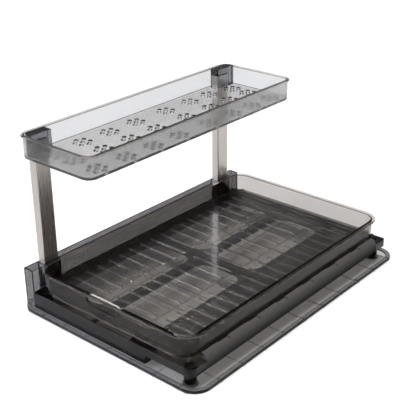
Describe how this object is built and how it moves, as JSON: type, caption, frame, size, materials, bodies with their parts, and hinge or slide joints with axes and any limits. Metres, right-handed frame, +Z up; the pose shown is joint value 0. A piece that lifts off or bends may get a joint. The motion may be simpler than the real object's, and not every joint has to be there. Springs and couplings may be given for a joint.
{
  "type": "pull-out cabinet basket",
  "caption": "Two-tier cabinet organiser: a slotted basket slides out over a footed platform, under a drained top tray on flat columns, on a rimmed drip mat.",
  "frame": {"origin": "bottom centre of the drip mat", "axes": "+X right, towards the side bar; +Y back, the basket slides out along -Y; +Z up"},
  "size_m": [0.3024, 0.4334, 0.2327],
  "materials": {
    "mat_plastic": "clear smoke grey, satin",
    "smoke_plastic": "dark smoke, semi-gloss",
    "dark_plastic": "near black smoke, semi-gloss",
    "clear_smoke_plastic": "clear smoke grey, glossy",
    "brushed_metal": "fine lengthwise brushing",
    "black_plastic": "satin",
    "screw_metal": "zinc plated",
    "soft_cup": "soft, smoky"
  },
  "bodies": {
    "stand": {"drip_mat": "mat_plastic", "base_frame": "smoke_plastic", "column_rail": "smoke_plastic", "side_bar": "dark_plastic", "top_tray": "clear_smoke_plastic", "column_front": "brushed_metal", "column_back": "brushed_metal", "column_plug_front": "black_plastic", "column_plug_back": "black_plastic", "tray_bracket_front": "dark_plastic", "tray_bracket_back": "dark_plastic", "column_screws": "screw_metal", "bracket_screws": "screw_metal", "rail_screws": "screw_metal", "foot_post_front_left": "black_plastic", "foot_post_front_middle": "black_plastic", "foot_post_front_right": "black_plastic", "foot_post_back_left": "black_plastic", "foot_post_back_middle": "black_plastic", "foot_post_back_right": "black_plastic", "suction_cup_front_left": "soft_cup", "suction_cup_front_middle": "soft_cup", "suction_cup_front_right": "soft_cup", "suction_cup_back_left": "soft_cup", "suction_cup_back_middle": "soft_cup", "suction_cup_back_right": "soft_cup"},
    "sliding_basket": {"basket": "clear_smoke_plastic"}
  },
  "joints": [
    {"name": "basket_slide", "type": "slide", "parent": "stand", "child": "sliding_basket", "axis": [0, -1, 0], "range_m": [0, 0.3]}
  ]
}
